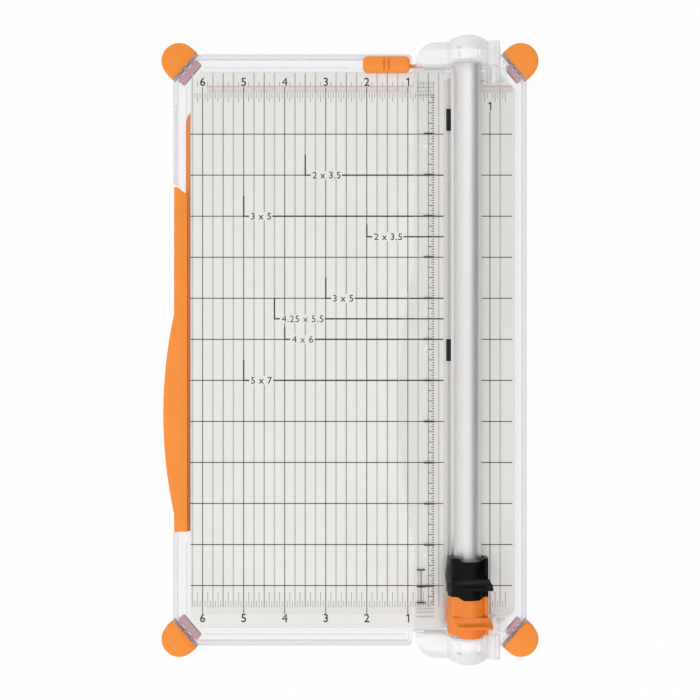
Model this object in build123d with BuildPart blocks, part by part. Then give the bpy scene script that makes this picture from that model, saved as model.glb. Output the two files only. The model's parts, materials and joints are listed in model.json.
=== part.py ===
from build123d import *
import os
from math import hypot, sqrt

# A portable paper trimmer: X runs across the bed, Y along the rail and away from the user, Z up.
# The origin is on the table under the middle of the base. All lengths are in millimetres.

# Shared clearances
overrun = 1.0
quarter_turn = 90
slide_gap = 0.3
seat_gap = 0.1
pivot_fit = 0.06

# Base tray: a shallow clear moulding, open underneath, with its corners cut off for the feet
frame_width = 219.0
frame_length = 366.2
frame_height = 10.8
frame_lift = 1.2
frame_wall = 2.2
frame_skin = 1.8
frame_edge_bevel = 0.6
corner_cut_x = 13.5
corner_cut_y = 15.6
end_notch_left_gap = 2.4
end_notch_right_gap = 0.5
end_notch_fillet = 3.0
rib_thickness = 1.4
rib_depth = 4.4
cross_rib_count = 7
long_rib_count = 4

# Bed panel: the printed grey sheet that lies flush in the tray
left_rim = 10.8
right_rim = 7.4
end_rim = 11.1
bed_thickness = 1.6
bed_corner_margin = 9.8

# Cutting strip, its groove and its retaining clips, under the blade line
cut_line_inset = 48.3
cutting_strip_width = 6.0
cutting_strip_end = 4.5
groove_width = 1.0
groove_depth = 0.9
clip_width = 3.4
clip_length = 13.6
clip_end_inset = 25.0
clip_count = 3

# Paper fences across the bed, left and right of the rail
fence_end_inset = 13.0
fence_width = 4.5
fence_height = 1.5
fence_bevel = 0.6
fence_left_inset = 10.2
fence_right_gap = 0.9
fence_stub_gap = 1.3
fence_stub_end = 1.2

# Corner feet: soft pads moulded through the cut corners of the tray
foot_radius = 11.0
foot_reach = 4.7
foot_shift = 0.9
foot_proud = 0.3
foot_bevel = 0.8
neck_count = 3
neck_width = 2.4
anchor_lift = 3.0
anchor_height = 5.0
left_anchor_inset = 1.75
left_anchor_depth = 4.2
right_anchor_length = 12.4
right_anchor_depth = 2.8
right_anchor_shift = 1.8
anchor_round = 1.2

# Swing-out arm, folded under the left edge of the bed, with its grip in the rim
arm_pivot_from_end = 43.1
arm_width = 22.0
arm_end_inset = 70.5
arm_thickness = 4.0
arm_gap = 0.4
arm_corner_radius = 2.5
arm_pocket_gap = 0.8
arm_grip_overlap = 1.2
grip_inset = 0.5
grip_top_gap = 39.1
grip_lift = 2.2
grip_shoulder = 2.0
grip_slant = 4.6
grip_bulge_length = 124.0
grip_bulge = 6.7
grip_bulge_end_gap = 11.0
grip_bevel = 1.0

# Pivot of the swing-out arm
boss_diameter = 8.0
pivot_screw_diameter = 3.0
pivot_head_diameter = 7.0
pivot_head_height = 1.4
pivot_washer_diameter = 13.0
pivot_washer_thickness = 1.0
pivot_screw_cover = 1.0
drive_slot_width = 0.9
drive_slot_depth = 0.6

# Rail extrusion: a round tube with a thin guide fin beside the blade line
tube_end_gap = 0.8
tube_lift = 11.5
tube_diameter = 17.0
tube_wall = 1.6
fin_thickness = 1.6
fin_rise = 1.0
fin_from_cut = 1.1

# Ruler strip: the clear bar beside the rail that holds the paper down
ruler_lift = 0.3
ruler_thickness = 2.0
ruler_width = 19.7
ruler_from_cut = 2.2
ruler_bulge = 9.6
ruler_bulge_length = 174.0
ruler_bulge_y = -33.7
ruler_bevel = 1.2
ruler_tab_width = 11.0
ruler_tab_length = 6.8
ruler_tab_inset = 2.0

# Rail heads: hollow clear mouldings that carry the rail at both ends
head_wall = 2.0
head_lift = 3.0
wing_overhang = 1.7
wing_reach = 14.7
wing_round = 12.0
socket_rise = 3.5
socket_length = 13.2
socket_bow = 2.4
spigot_length = 12.0
window_width = 3.0
window_length = 6.0
window_offset = 5.6
window_inset = 3.4

# Hinge: brackets on the bed, pins, and knuckles on the rail heads
hinge_gap = 0.4
hinge_rise = 3.5
hinge_pin_diameter = 3.0
hinge_pin_inset = 1.6
knuckle_radius = 4.2
knuckle_length = 15.2
bracket_length = 10.4
bracket_radius = 4.4
bracket_left = 5.9
bracket_right = 8.4
bracket_foot = 2.5
bracket_groove = 1.2
bracket_groove_offset = 2.9
bracket_groove_length = 6.4
bracket_screw_offset = 6.2
bracket_screw_inset = 2.6

# Small self-tapping screws of the brackets
screw_diameter = 2.2
screw_head_diameter = 4.0
screw_head_height = 1.3
screw_bite = 1.7

# Carriages: a guide shoe on the rail, and a shell that presses down over it
carriage_length = 25.1
carriage_bow = 2.0
bow_slope = 3.2
bow_round = 3.0
carriage_space = 0.3
shoe_fit = 0.1
shoe_wall = 1.0
shoe_length = 20.0
shoe_flat = 0.4
shell_gap = 0.15
shell_wall = 2.2
press_travel = 1.5
cheek_wall = 2.0
cheek_taper = 1.4
cheek_drop = 6.2
facet_low = 1.5
facet_high = 10.4
facet_inset = 3.4
skirt_drop = 4.5
ear_width = 2.4
ear_high = 9.6
crease_from_mid = 0.4
ledge_rise = 5.2
ledge_back = 3.6
ledge_lip = 1.6
ledge_scoop = 0.9
ledge_front_reach = 6.0
ledge_lean = 0.7
ledge_root = 2.6
ledge_left = 9.3
ledge_left_taper = 4.2
ledge_right_flare = 2.2
ledge_fillet = 0.7

# Blade, scoring tip, their cartridges and return springs
cartridge_gap = 0.15
cartridge_width = 1.6
cartridge_length = 14.0
cartridge_rise = 2.0
cartridge_bevel = 1.6
blade_thickness = 0.4
blade_length = 9.0
blade_edge_length = 2.4
blade_drop = 10.4
blade_edge_rise = 3.6
blade_root = 2.0
scoring_thickness = 0.7
scoring_radius = 1.6
spring_width = 4.4
spring_length = 16.0
spring_thickness = 0.25

# Lock slider on the far rim, and the pin that it pushes under the rail head
lock_notch_gap = 1.5
lock_length = 29.2
lock_width = 9.9
lock_height = 3.8
lock_side_gap = 0.4
lock_corner_radius = 3.2
lock_fillet = 1.3
lock_rib_width = 1.6
lock_rib_depth = 0.5
lock_travel = 8.0
lock_stem_length = 9.0
lock_stem_width = 2.2
lock_stem_from_left = 12.5
lock_shuttle_length = 13.0
lock_shuttle_width = 4.0
lock_shuttle_height = 3.6
lock_pin_diameter = 2.4
lock_pin_length = 20.0
lock_pin_engagement = 4.2
keeper_depth = 5.0

# Places worked out from the sizes above: base and bed
frame_top = frame_lift + frame_height
half_width = frame_width / 2
half_length = frame_length / 2
bed_left = left_rim - half_width
bed_right = half_width - right_rim
bed_width = bed_right - bed_left
bed_mid_x = (bed_left + bed_right) / 2
bed_length = frame_length - 2 * end_rim
bed_bottom = frame_top - bed_thickness
deck_bottom = bed_bottom - frame_skin
notch_edge = bed_length / 2 + frame_wall
cut_line_x = half_width - cut_line_inset
cutting_strip_length = bed_length - 2 * cutting_strip_end
clip_spacing = (cutting_strip_length - 2 * clip_end_inset) / (clip_count - 1)
fence_y = bed_length / 2 - fence_end_inset
corner_slope = hypot(1 / corner_cut_x, 1 / corner_cut_y)
left_anchor_length = hypot(corner_cut_x, corner_cut_y) - 2 * left_anchor_inset

# Swing-out arm
grip_outer_x = grip_inset - half_width
grip_inner_x = bed_left - frame_skin - slide_gap
arm_pivot_x = grip_inner_x - arm_grip_overlap + arm_width / 2
arm_pivot_y = half_length - arm_pivot_from_end
arm_top = deck_bottom - arm_gap
arm_bottom = arm_top - arm_thickness
arm_end_y = arm_end_inset - half_length
arm_reach = arm_pivot_y - arm_end_y
grip_top_y = arm_pivot_y - grip_top_gap

# Rail, shoes and carriages
tube_radius = tube_diameter / 2
bore_radius = tube_radius - tube_wall
tube_end = notch_edge + tube_end_gap
tube_length = 2 * tube_end
shoe_radius = tube_radius + shoe_fit + shoe_wall
cavity_radius = shoe_radius + shell_gap
tube_from_cut = cavity_radius + cartridge_gap + cartridge_width / 2
tube_x = cut_line_x + tube_from_cut
tube_z = frame_top + tube_lift
fin_drop = tube_radius - fin_rise
press_room = press_travel + seat_gap
crown_radius = cavity_radius + shell_wall
shell_top = press_room + crown_radius
cheek_reach = tube_from_cut + cartridge_width / 2 + cheek_wall
cheek_width = cheek_reach - cavity_radius - shell_gap - seat_gap
cutter_low_y = carriage_space - tube_end
scorer_low_y = cutter_low_y + carriage_length - carriage_bow + carriage_space
cartridge_bottom = seat_gap - cheek_drop

# Ruler strip, heads and hinge
ruler_right = cut_line_x - ruler_from_cut
ruler_left = ruler_right - ruler_width
ruler_bottom = frame_top + ruler_lift
ruler_top = ruler_bottom + ruler_thickness
ruler_tab_x = ruler_right - ruler_tab_inset - ruler_tab_width / 2
head_top = ruler_top + head_wall
wing_left = ruler_left + wing_overhang
socket_radius = tube_radius + socket_rise
hinge_x = tube_x + socket_radius + hinge_gap + knuckle_radius
hinge_z = frame_top + hinge_rise
bracket_end = notch_edge
bracket_screw_x = hinge_x + bracket_screw_offset
bracket_screw_y = bracket_end - bracket_length + bracket_screw_inset
end_notch_left = wing_left - end_notch_left_gap
end_notch_right = hinge_x + knuckle_radius + end_notch_right_gap

# Lock slider
lock_left = end_notch_left - lock_notch_gap - lock_length
lock_y = bed_length / 2 + frame_skin + lock_side_gap + lock_shuttle_width / 2
lock_bottom = frame_top + seat_gap
lock_shuttle_top = frame_top - frame_skin - slide_gap
lock_pin_z = lock_shuttle_top - lock_shuttle_height / 2
lock_stem_x = lock_left + lock_stem_from_left
lock_pin_tip = wing_left + lock_pin_engagement

corners = {
    "corner_foot_rear_left": (-1, 1),
    "corner_foot_rear_right": (1, 1),
    "corner_foot_front_left": (-1, -1),
    "corner_foot_front_right": (1, -1),
}


def save(part, name):
    """Label a finished piece and write it to its own file."""
    part.label = name
    export_step(part, f"parts/{name}.step")


def cut_corner_outline(share=1):
    """Draw the frame's rectangle with its corners cut off, the cuts scaled by share."""
    cut_x = corner_cut_x * share
    cut_y = corner_cut_y * share
    Polygon(
        (half_width, half_length - cut_y),
        (half_width - cut_x, half_length),
        (cut_x - half_width, half_length),
        (-half_width, half_length - cut_y),
        (-half_width, cut_y - half_length),
        (cut_x - half_width, -half_length),
        (half_width - cut_x, -half_length),
        (half_width, cut_y - half_length),
        align=None,
    )


def frame_outline():
    """Draw the tray from above: cut corners, and a notch at each end for the rail heads."""
    cut_corner_outline()
    with Locations(((end_notch_left + end_notch_right) / 2, 0)):
        with GridLocations(0, 2 * half_length, 1, 2):
            Rectangle(end_notch_right - end_notch_left, 2 * (half_length - notch_edge), mode=Mode.SUBTRACT)


def bed_outline():
    """Draw the bed panel from above, with corners that leave the foot anchors in view."""
    cut_corner_outline(1 + bed_corner_margin * corner_slope)
    with Locations((bed_mid_x, 0)):
        Rectangle(bed_width, bed_length, mode=Mode.INTERSECT)


def corner_plane(side_x, side_y, height):
    """Plane on the middle of a cut corner, with its Y axis pointing out of the frame."""
    middle = (side_x * (half_width - corner_cut_x / 2), side_y * (half_length - corner_cut_y / 2), height)
    return Plane(origin=middle, x_dir=(side_y * corner_cut_x, -side_x * corner_cut_y, 0), z_dir=(0, 0, 1))


def anchor_sizes(side_x, side_y):
    """Length, depth and sideways shift of a foot's anchor: the right ones keep clear of the end notches."""
    if side_x < 0:
        return left_anchor_length, left_anchor_depth, 0
    return right_anchor_length, right_anchor_depth, side_y * right_anchor_shift


def neck_windows(length, shift):
    """Draw the openings in a corner wall that the foot is moulded through."""
    with Locations((shift, -frame_wall / 2)):
        with GridLocations(length / neck_count, 0, neck_count, 1):
            Rectangle(neck_width, frame_wall)


def across(y):
    """Plane square to the rail at y: its X is the frame's X and its Y is up; it faces the user."""
    return Plane.XZ.offset(-y)


def base_tray_part():
    with BuildPart() as tray:
        with BuildSketch(Plane.XY.offset(frame_lift)) as outline:
            frame_outline()
            past_notch = notch_edge + frame_skin
            end_corners = outline.vertices().filter_by(lambda corner: abs(corner.Y) > past_notch)
            fillet(end_corners.filter_by_position(Axis.X, 0, end_notch_left), end_notch_fillet)
        extrude(amount=frame_height)
        chamfer(tray.faces().sort_by(Axis.Z)[-1].edges(), frame_edge_bevel)
        with BuildSketch(Plane.XY.offset(frame_lift)):
            frame_outline()
            offset(amount=-frame_wall, kind=Kind.INTERSECTION)
        extrude(amount=frame_height - frame_skin, mode=Mode.SUBTRACT)
        # Gap in the left rim for the grip, and the slit that the arm swings out through
        with BuildSketch(Plane.XY):
            Polygon(
                (-half_width - overrun, arm_end_y - arm_pocket_gap),
                (bed_left - frame_skin, arm_end_y - arm_pocket_gap),
                (bed_left - frame_skin, grip_top_y - grip_slant + arm_pocket_gap),
                (grip_outer_x + grip_shoulder, grip_top_y + arm_pocket_gap),
                (-half_width - overrun, grip_top_y + grip_shoulder + arm_pocket_gap),
                align=None,
            )
        extrude(amount=frame_top + overrun, mode=Mode.SUBTRACT)
        slit_low_y = grip_top_y - grip_slant
        slit_high_y = arm_pivot_y + arm_width / 2 + arm_pocket_gap
        with BuildSketch(Plane.XY.offset(arm_bottom - arm_gap)):
            with Locations((-half_width, (slit_low_y + slit_high_y) / 2)):
                Rectangle(2 * (frame_wall + overrun), slit_high_y - slit_low_y)
        extrude(amount=arm_thickness + 2 * arm_gap, mode=Mode.SUBTRACT)
        # Pan that the bed panel lies in
        with BuildSketch(Plane.XY.offset(deck_bottom)):
            bed_outline()
            offset(amount=frame_skin, kind=Kind.INTERSECTION)
        extrude(amount=frame_top - deck_bottom)
        with BuildSketch(Plane.XY.offset(bed_bottom)):
            bed_outline()
            offset(amount=seat_gap, kind=Kind.INTERSECTION)
        extrude(amount=bed_thickness + overrun, mode=Mode.SUBTRACT)
        # Stiffening ribs under the pan, to the right of the arm's pocket
        rib_left = arm_pivot_x + arm_width / 2 + arm_pocket_gap
        rib_right = bed_right - frame_skin
        rib_field = rib_right - rib_left
        rib_length = bed_length - 2 * bed_corner_margin
        with BuildSketch(Plane.XY.offset(deck_bottom - rib_depth)):
            with Locations((rib_left + rib_field / 2, 0)):
                with GridLocations(0, rib_length / cross_rib_count, 1, cross_rib_count):
                    Rectangle(rib_field, rib_thickness)
            for row in range(long_rib_count):
                with Locations((rib_left + row * rib_field / long_rib_count, 0)):
                    Rectangle(rib_thickness, rib_length, align=(Align.MIN, Align.CENTER))
        extrude(amount=rib_depth)
        # Pivot boss of the arm, with its screw hole
        with BuildSketch(Plane.XY.offset(arm_bottom - seat_gap)):
            with Locations((arm_pivot_x, arm_pivot_y)):
                Circle(boss_diameter / 2)
        extrude(amount=deck_bottom - arm_bottom + seat_gap)
        with BuildSketch(Plane.XY.offset(arm_bottom - seat_gap)):
            with Locations((arm_pivot_x, arm_pivot_y)):
                Circle(pivot_screw_diameter / 2)
        extrude(amount=bed_bottom - pivot_screw_cover - arm_bottom + seat_gap, mode=Mode.SUBTRACT)
        # Windows for the foot necks, and holes for the bracket screws
        for side_x, side_y in corners.values():
            anchor_length, anchor_depth, anchor_shift = anchor_sizes(side_x, side_y)
            with BuildSketch(corner_plane(side_x, side_y, anchor_lift)):
                neck_windows(anchor_length, anchor_shift)
            extrude(amount=anchor_height, mode=Mode.SUBTRACT)
        with BuildSketch(Plane.XY.offset(deck_bottom - rib_depth)):
            with GridLocations(0, 2 * bracket_screw_y, 1, 2):
                with Locations((bracket_screw_x, 0)):
                    Circle(screw_diameter / 2)
        extrude(amount=rib_depth + frame_skin, mode=Mode.SUBTRACT)
        # Track of the lock slider in the far rim, and the hole for its pin
        with BuildSketch(Plane.XY.offset(frame_top - frame_skin - overrun)):
            with Locations((lock_stem_x + (lock_stem_length - lock_travel) / 2, lock_y)):
                Rectangle(lock_stem_length + lock_travel + 2 * slide_gap, lock_stem_width + 2 * slide_gap)
        extrude(amount=frame_skin + 2 * overrun, mode=Mode.SUBTRACT)
        with BuildSketch(Plane.YZ.offset(end_notch_left - frame_wall - overrun)):
            with Locations((lock_y, lock_pin_z)):
                Circle(lock_pin_diameter / 2 + slide_gap)
        extrude(amount=frame_wall + 2 * overrun, mode=Mode.SUBTRACT)
    return tray.part


def corner_foot_part(side_x, side_y):
    with BuildPart() as foot:
        with BuildSketch(corner_plane(side_x, side_y, 0)):
            with Locations((-side_x * side_y * foot_shift, foot_reach)):
                Circle(foot_radius)
                Rectangle(2 * foot_radius, foot_reach, align=(Align.CENTER, Align.MAX))
            Rectangle(4 * foot_radius, foot_radius, align=(Align.CENTER, Align.MAX), mode=Mode.SUBTRACT)
        extrude(amount=frame_top + foot_proud)
        top = foot.faces().sort_by(Axis.Z)[-1]
        outward = corner_plane(side_x, side_y, 0).y_dir
        chamfer(top.edges().filter_by(lambda edge: (edge.center() - top.center()).dot(outward) > 0), foot_bevel)
        anchor_length, anchor_depth, anchor_shift = anchor_sizes(side_x, side_y)
        with BuildSketch(corner_plane(side_x, side_y, anchor_lift)) as anchor:
            neck_windows(anchor_length, anchor_shift)
            with Locations((anchor_shift, -frame_wall)):
                Rectangle(anchor_length, anchor_depth, align=(Align.CENTER, Align.MAX))
            fillet(anchor.vertices().group_by(Axis.Y)[0], anchor_round)
        extrude(amount=anchor_height)
    return foot.part


def bed_panel_part():
    with BuildPart() as panel:
        with BuildSketch(Plane.XY.offset(bed_bottom)):
            bed_outline()
            with Locations((cut_line_x, 0)):
                Rectangle(cutting_strip_width, cutting_strip_length, mode=Mode.SUBTRACT)
            with GridLocations(0, 2 * bracket_screw_y, 1, 2):
                with Locations((bracket_screw_x, 0)):
                    Circle(screw_diameter / 2, mode=Mode.SUBTRACT)
        extrude(amount=bed_thickness)
    return panel.part


def blade_groove():
    """The groove that the blade's edge runs in, as a body to cut away."""
    with BuildPart() as groove:
        with BuildSketch(Plane.XY.offset(frame_top - groove_depth)):
            with Locations((cut_line_x, 0)):
                Rectangle(groove_width, bed_length)
        extrude(amount=groove_depth + overrun)
    return groove.part


def cutting_strip_part():
    with BuildPart() as strip:
        with BuildSketch(Plane.XY.offset(bed_bottom)):
            with Locations((cut_line_x, 0)):
                Rectangle(cutting_strip_width, cutting_strip_length)
                with GridLocations(0, clip_spacing, 1, clip_count):
                    Rectangle(clip_width, clip_length, mode=Mode.SUBTRACT)
        extrude(amount=bed_thickness)
        add(blade_groove(), mode=Mode.SUBTRACT)
    return strip.part


def strip_clips_part():
    with BuildPart() as clips:
        with BuildSketch(Plane.XY.offset(bed_bottom)):
            with Locations((cut_line_x, 0)):
                with GridLocations(0, clip_spacing, 1, clip_count):
                    Rectangle(clip_width, clip_length)
        extrude(amount=bed_thickness)
        add(blade_groove(), mode=Mode.SUBTRACT)
    return clips.part


def fence_part(left, right):
    """One fence of the far end, from left to right, bevelled along its back."""
    with BuildPart() as fence:
        with BuildSketch(Plane.XY.offset(frame_top)):
            with Locations(((left + right) / 2, fence_y)):
                Rectangle(right - left, fence_width, align=(Align.CENTER, Align.MIN))
        extrude(amount=fence_height)
        chamfer(fence.faces().sort_by(Axis.Z)[-1].edges().sort_by(Axis.Y)[-1], fence_bevel)
    return fence.part


def mirrored_part(source):
    """The same piece at the near end of the trimmer."""
    with BuildPart() as twin:
        mirror(source, about=Plane.XZ)
    return twin.part


def swing_arm_part():
    with BuildPart() as arm:
        with BuildSketch(Plane.XY.offset(arm_bottom)) as bar:
            with Locations((arm_pivot_x, arm_pivot_y)):
                Circle(arm_width / 2)
                Rectangle(arm_width, arm_reach, align=(Align.CENTER, Align.MAX))
            fillet(bar.vertices().sort_by(Axis.Y)[:2].sort_by(Axis.X)[-1], arm_corner_radius)
            with Locations((arm_pivot_x, arm_pivot_y)):
                Circle(boss_diameter / 2 + pivot_fit, mode=Mode.SUBTRACT)
        extrude(amount=arm_thickness)
        bulge_y = arm_end_y + grip_bulge_end_gap + grip_bulge_length / 2
        bulge_low = (grip_outer_x, bulge_y - grip_bulge_length / 2)
        bulge_peak = (grip_outer_x - grip_bulge, bulge_y)
        bulge_high = (grip_outer_x, bulge_y + grip_bulge_length / 2)
        with BuildSketch(Plane.XY.offset(grip_lift)):
            with BuildLine():
                Polyline(
                    bulge_high,
                    (grip_outer_x, grip_top_y),
                    (grip_outer_x + grip_shoulder, grip_top_y),
                    (grip_inner_x, grip_top_y - grip_slant),
                    (grip_inner_x, arm_end_y),
                    (grip_outer_x, arm_end_y),
                    bulge_low,
                )
                ThreePointArc(bulge_low, bulge_peak, bulge_high)
            make_face()
        extrude(amount=frame_top - grip_lift)
        shoulder_x = grip_outer_x + grip_shoulder
        outer_edges = arm.edges().filter_by(lambda edge: edge.bounding_box().max.X < shoulder_x)
        chamfer(outer_edges.filter_by(lambda edge: edge.bounding_box().size.Z < seat_gap), grip_bevel)
    return arm.part


def pivot_washer_part():
    with BuildPart() as washer:
        with BuildSketch(Plane.XY.offset(arm_bottom - seat_gap - pivot_washer_thickness)):
            with Locations((arm_pivot_x, arm_pivot_y)):
                Circle(pivot_washer_diameter / 2)
                Circle(pivot_screw_diameter / 2, mode=Mode.SUBTRACT)
        extrude(amount=pivot_washer_thickness)
    return washer.part


def pivot_screw_part():
    seat_z = arm_bottom - seat_gap - pivot_washer_thickness
    with BuildPart() as screw:
        with BuildSketch(Plane.XY.offset(seat_z - pivot_head_height)):
            with Locations((arm_pivot_x, arm_pivot_y)):
                Circle(pivot_head_diameter / 2)
        extrude(amount=pivot_head_height)
        with BuildSketch(Plane.XY.offset(seat_z)):
            with Locations((arm_pivot_x, arm_pivot_y)):
                Circle(pivot_screw_diameter / 2)
        extrude(amount=bed_bottom - pivot_screw_cover - seat_z)
        with BuildSketch(Plane.XY.offset(seat_z - pivot_head_height)):
            with Locations((arm_pivot_x, arm_pivot_y)):
                with PolarLocations(0, 2, angular_range=2 * quarter_turn):
                    Rectangle(pivot_head_diameter - 2 * drive_slot_width, drive_slot_width)
        extrude(amount=drive_slot_depth, mode=Mode.SUBTRACT)
    return screw.part


def hinge_bracket_part():
    """Clear hinge bracket at the far end: a round barrel on a screwed foot."""
    with BuildPart() as bracket:
        with BuildSketch(across(bracket_end)):
            with Locations((hinge_x - bracket_left, frame_top)):
                Rectangle(bracket_left + bracket_right, bracket_foot, align=(Align.MIN, Align.MIN))
            with Locations((hinge_x, frame_top)):
                Rectangle(2 * bracket_radius, hinge_rise, align=(Align.CENTER, Align.MIN))
            with Locations((hinge_x, hinge_z)):
                Circle(bracket_radius)
                Circle(hinge_pin_diameter / 2, mode=Mode.SUBTRACT)
            below = (Align.CENTER, Align.MAX)
            with Locations((hinge_x, frame_top)):
                Rectangle(2 * bracket_radius, bracket_radius, align=below, mode=Mode.SUBTRACT)
        extrude(amount=bracket_length)
        middle_y = bracket_end - bracket_length / 2
        with BuildSketch(Plane.XY.offset(frame_top + bracket_foot)):
            with Locations((hinge_x, middle_y)):
                with GridLocations(2 * bracket_groove_offset, 0, 2, 1):
                    Rectangle(bracket_groove, bracket_groove_length)
        extrude(amount=hinge_rise + bracket_radius, mode=Mode.SUBTRACT)
        with BuildSketch(Plane.XY.offset(frame_top)):
            with Locations((bracket_screw_x, bracket_screw_y)):
                Circle(screw_diameter / 2)
        extrude(amount=screw_bite, mode=Mode.SUBTRACT)
    return bracket.part


def hinge_pin_part():
    pin_far_y = tube_end + knuckle_length - hinge_pin_inset
    pin_near_y = bracket_end - bracket_length + hinge_pin_inset
    with BuildPart() as pin:
        with BuildSketch(across(pin_far_y)):
            with Locations((hinge_x, hinge_z)):
                Circle(hinge_pin_diameter / 2)
        extrude(amount=pin_far_y - pin_near_y)
    return pin.part


def small_screws_part(places, seat_z, grip):
    """A group of pan-head screws driven upwards: heads under seat_z, shanks grip above it."""
    with BuildPart() as screws:
        with BuildSketch(Plane.XY.offset(seat_z - screw_head_height)):
            with Locations(*places):
                Circle(screw_head_diameter / 2)
        extrude(amount=screw_head_height)
        with BuildSketch(Plane.XY.offset(seat_z)):
            with Locations(*places):
                Circle(screw_diameter / 2)
        extrude(amount=grip)
        with BuildSketch(Plane.XY.offset(seat_z - screw_head_height)):
            with Locations(*places):
                Rectangle(screw_head_diameter - drive_slot_width, drive_slot_width)
        extrude(amount=drive_slot_depth, mode=Mode.SUBTRACT)
    return screws.part


def rail_tube_part():
    fin_left = cut_line_x + fin_from_cut
    with BuildPart() as tube:
        with BuildSketch(across(tube_end)):
            with Locations((tube_x, tube_z)):
                Circle(tube_radius)
            with Locations((fin_left, tube_z - fin_drop)):
                Rectangle(tube_x - fin_left, fin_thickness, align=(Align.MIN, Align.CENTER))
            with Locations((tube_x, tube_z)):
                Circle(bore_radius, mode=Mode.SUBTRACT)
        extrude(amount=tube_length)
    return tube.part


def ruler_strip_part():
    bulge_low = (ruler_left, ruler_bulge_y - ruler_bulge_length / 2)
    bulge_peak = (ruler_left - ruler_bulge, ruler_bulge_y)
    bulge_high = (ruler_left, ruler_bulge_y + ruler_bulge_length / 2)
    with BuildPart() as strip:
        with BuildSketch(Plane.XY.offset(ruler_bottom)):
            with BuildLine():
                Polyline(
                    bulge_high,
                    (ruler_left, tube_end),
                    (ruler_right, tube_end),
                    (ruler_right, -tube_end),
                    (ruler_left, -tube_end),
                    bulge_low,
                )
                ThreePointArc(bulge_low, bulge_peak, bulge_high)
            make_face()
        extrude(amount=ruler_thickness)
        top_edges = strip.faces().sort_by(Axis.Z)[-1].edges()
        left_limit = ruler_left + seat_gap
        chamfer(top_edges.filter_by(lambda edge: edge.bounding_box().max.X < left_limit), ruler_bevel)
        with BuildSketch(Plane.XY.offset(ruler_bottom)):
            with Locations((ruler_tab_x, 0)):
                Rectangle(ruler_tab_width, tube_length + 2 * ruler_tab_length)
        extrude(amount=ruler_thickness)
    return strip.part


def head_block_outline(inset):
    """The wing, middle and hinge side of a head from above, with the walls moved in by inset."""
    round_x = wing_left + wing_round
    round_y = tube_end + wing_reach - wing_round
    wing_outer = tube_end + wing_reach - inset
    with BuildSketch() as outline:
        with BuildLine():
            curve = CenterArc((round_x, round_y), wing_round - inset, quarter_turn, quarter_turn)
            Polyline(
                curve @ 1,
                (wing_left + inset, tube_end + inset),
                (hinge_x - inset, tube_end + inset),
                (hinge_x - inset, wing_outer),
                curve @ 0,
            )
        make_face()
    return outline.sketch


def socket_body(inset):
    """The tube socket of a head, its skin moved in by inset: an arch along the rail with a bowed end."""
    radius = socket_radius - inset
    near_y = tube_end + inset
    far_y = tube_end + socket_length - inset
    with BuildPart() as socket:
        with BuildSketch(across(far_y + socket_bow)):
            with Locations((tube_x, tube_z)):
                Circle(radius)
                Rectangle(2 * radius, tube_z - head_lift, align=(Align.CENTER, Align.MAX))
        extrude(amount=far_y + socket_bow - near_y)
        with BuildSketch(Plane.XY.offset(head_lift)):
            with BuildLine():
                left_corner = (tube_x - radius, far_y)
                right_corner = (tube_x + radius, far_y)
                ThreePointArc(left_corner, (tube_x, far_y + socket_bow), right_corner)
                Polyline(right_corner, (tube_x + radius, near_y), (tube_x - radius, near_y), left_corner)
            make_face()
        extrude(amount=tube_z + socket_radius - head_lift, mode=Mode.INTERSECT)
    return socket.part


def rail_head_part():
    """Clear head at the far end: a wing, an arched tube socket with its spigot, and a hinge knuckle."""
    head_height = head_top - head_lift
    with BuildPart() as head:
        with BuildSketch(Plane.XY.offset(head_lift)):
            add(head_block_outline(0))
        extrude(amount=head_height)
        add(socket_body(0))
        # Hollow from below
        with BuildSketch(Plane.XY.offset(head_lift)):
            add(head_block_outline(head_wall))
        extrude(amount=head_height - head_wall, mode=Mode.SUBTRACT)
        add(socket_body(head_wall), mode=Mode.SUBTRACT)
        # Solid knuckle on the hinge side, with the bore for its pin
        with BuildSketch(across(tube_end + knuckle_length)):
            with Locations((hinge_x, hinge_z)):
                Circle(knuckle_radius)
        extrude(amount=knuckle_length - slide_gap)
        with BuildSketch(across(tube_end + knuckle_length)):
            with Locations((hinge_x, hinge_z)):
                Circle(hinge_pin_diameter / 2 + pivot_fit)
        extrude(amount=knuckle_length, mode=Mode.SUBTRACT)
        # Snap windows in the crown of the socket
        with BuildSketch(Plane.XY.offset(tube_z + tube_radius / 2)):
            with Locations((tube_x, tube_end + window_inset + window_length / 2)):
                with GridLocations(2 * window_offset, 0, 2, 1):
                    Rectangle(window_width, window_length)
        extrude(amount=socket_radius, mode=Mode.SUBTRACT)
        # Spigot that the rail is pushed onto
        with BuildSketch(across(tube_end)):
            with Locations((tube_x, tube_z)):
                Circle(bore_radius - seat_gap)
        extrude(amount=spigot_length)
        # Opening that the ruler strip's tab is pushed into, and the keeper that the lock pin enters
        with BuildSketch(Plane.XY.offset(ruler_bottom)):
            with Locations((ruler_tab_x, tube_end)):
                Rectangle(ruler_tab_width, 2 * head_wall)
        extrude(amount=ruler_thickness, mode=Mode.SUBTRACT)
        keeper_top = lock_pin_z + lock_pin_diameter / 2 + 2 * slide_gap
        keeper_width = lock_pin_diameter + 4 * slide_gap
        with BuildSketch(Plane.XY.offset(head_lift)):
            with Locations((wing_left, lock_y)):
                Rectangle(2 * keeper_depth, keeper_width)
        extrude(amount=keeper_top - head_lift, mode=Mode.SUBTRACT)
    return head.part


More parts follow.
